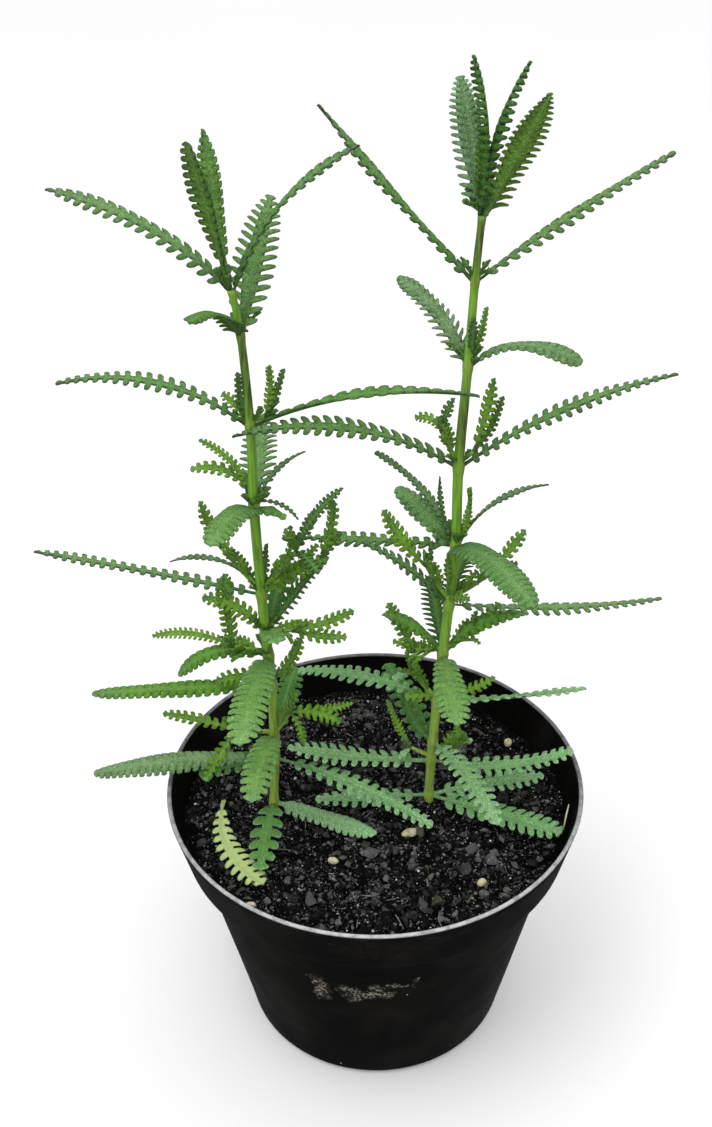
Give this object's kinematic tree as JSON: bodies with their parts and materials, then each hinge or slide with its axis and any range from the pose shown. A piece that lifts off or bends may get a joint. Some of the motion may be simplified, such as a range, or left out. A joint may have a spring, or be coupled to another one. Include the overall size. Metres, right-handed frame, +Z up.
{
  "type": "potted lavender",
  "caption": "Young fringed lavender, two upright leafy stems in dark soil in a tapered black plastic nursery pot; stands on a flat surface.",
  "frame": {"origin": "centre of the pot's underside", "axes": "+Z up, -Y towards the pot's front as pictured, +X to the right"},
  "size_m": [0.169, 0.12, 0.2898],
  "materials": {
    "pot_plastic": "thin matte black plastic with a scuffed grey rim and dried dirt marks",
    "potting_soil": "nearly black moist potting mix of bark and peat crumbs with white specks",
    "lavender_foliage": "softly felted grey-green leaves, yellower on the young shoots and stems",
    "dry_leaf": "pale yellow withered leaf with a brown rib",
    "pale_stone": "rough cream-coloured stone"
  },
  "bodies": {
    "root": {"pot": "pot_plastic", "soil": "potting_soil", "leafy_stem_left": "lavender_foliage", "leafy_stem_right": "lavender_foliage", "fallen_leaf": "dry_leaf", "pebble_1": "pale_stone", "pebble_2": "pale_stone", "pebble_3": "pale_stone", "pebble_4": "pale_stone", "pebble_5": "pale_stone"}
  },
  "joints": []
}
